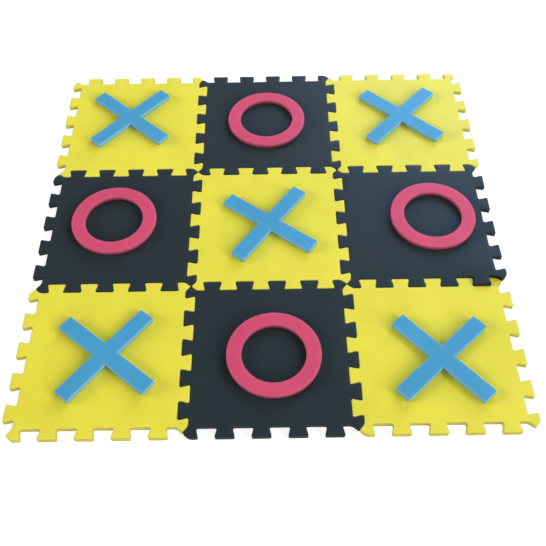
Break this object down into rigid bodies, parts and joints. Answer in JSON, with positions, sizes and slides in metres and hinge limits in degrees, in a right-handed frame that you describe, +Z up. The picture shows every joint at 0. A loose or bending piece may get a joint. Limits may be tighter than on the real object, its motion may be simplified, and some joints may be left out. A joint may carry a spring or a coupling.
{
  "type": "tic tac toe toss",
  "caption": "Square foam board of interlocking yellow and dark slate puzzle tiles, with loose blue foam crosses and pink foam rings lying on it for a tic-tac-toe tossing game.",
  "frame": {"origin": "middle of the board's underside, at the centre tile's middle", "axes": "+Z up out of the playing face, +Y towards the back row, +X to the right seen from the front row"},
  "size_m": [0.9192, 0.9192, 0.0203],
  "materials": {
    "foam_yellow": "matte",
    "foam_slate": "matte",
    "foam_blue": "matte",
    "foam_pink": "matte"
  },
  "bodies": {
    "tile_front_left": {"tile_front_left": "foam_yellow"},
    "tile_front_middle": {"tile_front_middle": "foam_slate"},
    "tile_front_right": {"tile_front_right": "foam_yellow"},
    "tile_middle_left": {"tile_middle_left": "foam_slate"},
    "tile_centre": {"tile_centre": "foam_yellow"},
    "tile_middle_right": {"tile_middle_right": "foam_slate"},
    "tile_back_left": {"tile_back_left": "foam_yellow"},
    "tile_back_middle": {"tile_back_middle": "foam_slate"},
    "tile_back_right": {"tile_back_right": "foam_yellow"},
    "x_front_left": {"x_front_left": "foam_blue"},
    "o_front_middle": {"o_front_middle": "foam_pink"},
    "x_front_right": {"x_front_right": "foam_blue"},
    "o_middle_left": {"o_middle_left": "foam_pink"},
    "x_centre": {"x_centre": "foam_blue"},
    "o_middle_right": {"o_middle_right": "foam_pink"},
    "x_back_left": {"x_back_left": "foam_blue"},
    "o_back_middle": {"o_back_middle": "foam_pink"},
    "x_back_right": {"x_back_right": "foam_blue"}
  },
  "joints": [
    {"name": "lift_tile_front_left", "type": "slide", "parent": "tile_centre", "child": "tile_front_left", "axis": [0, 0, 1], "range_m": [0, 0.1]},
    {"name": "lift_tile_front_middle", "type": "slide", "parent": "tile_centre", "child": "tile_front_middle", "axis": [0, 0, 1], "range_m": [0, 0.1]},
    {"name": "lift_tile_front_right", "type": "slide", "parent": "tile_centre", "child": "tile_front_right", "axis": [0, 0, 1], "range_m": [0, 0.1]},
    {"name": "lift_tile_middle_left", "type": "slide", "parent": "tile_centre", "child": "tile_middle_left", "axis": [0, 0, 1], "range_m": [0, 0.1]},
    {"name": "lift_tile_middle_right", "type": "slide", "parent": "tile_centre", "child": "tile_middle_right", "axis": [0, 0, 1], "range_m": [0, 0.1]},
    {"name": "lift_tile_back_left", "type": "slide", "parent": "tile_centre", "child": "tile_back_left", "axis": [0, 0, 1], "range_m": [0, 0.1]},
    {"name": "lift_tile_back_middle", "type": "slide", "parent": "tile_centre", "child": "tile_back_middle", "axis": [0, 0, 1], "range_m": [0, 0.1]},
    {"name": "lift_tile_back_right", "type": "slide", "parent": "tile_centre", "child": "tile_back_right", "axis": [0, 0, 1], "range_m": [0, 0.1]},
    {"name": "lift_x_front_left", "type": "slide", "parent": "tile_front_left", "child": "x_front_left", "axis": [0, 0, 1], "range_m": [0, 0.15]},
    {"name": "lift_o_front_middle", "type": "slide", "parent": "tile_front_middle", "child": "o_front_middle", "axis": [0, 0, 1], "range_m": [0, 0.15]},
    {"name": "lift_x_front_right", "type": "slide", "parent": "tile_front_right", "child": "x_front_right", "axis": [0, 0, 1], "range_m": [0, 0.15]},
    {"name": "lift_o_middle_left", "type": "slide", "parent": "tile_middle_left", "child": "o_middle_left", "axis": [0, 0, 1], "range_m": [0, 0.15]},
    {"name": "lift_x_centre", "type": "slide", "parent": "tile_centre", "child": "x_centre", "axis": [0, 0, 1], "range_m": [0, 0.15]},
    {"name": "lift_o_middle_right", "type": "slide", "parent": "tile_middle_right", "child": "o_middle_right", "axis": [0, 0, 1], "range_m": [0, 0.15]},
    {"name": "lift_x_back_left", "type": "slide", "parent": "tile_back_left", "child": "x_back_left", "axis": [0, 0, 1], "range_m": [0, 0.15]},
    {"name": "lift_o_back_middle", "type": "slide", "parent": "tile_back_middle", "child": "o_back_middle", "axis": [0, 0, 1], "range_m": [0, 0.15]},
    {"name": "lift_x_back_right", "type": "slide", "parent": "tile_back_right", "child": "x_back_right", "axis": [0, 0, 1], "range_m": [0, 0.15]}
  ]
}
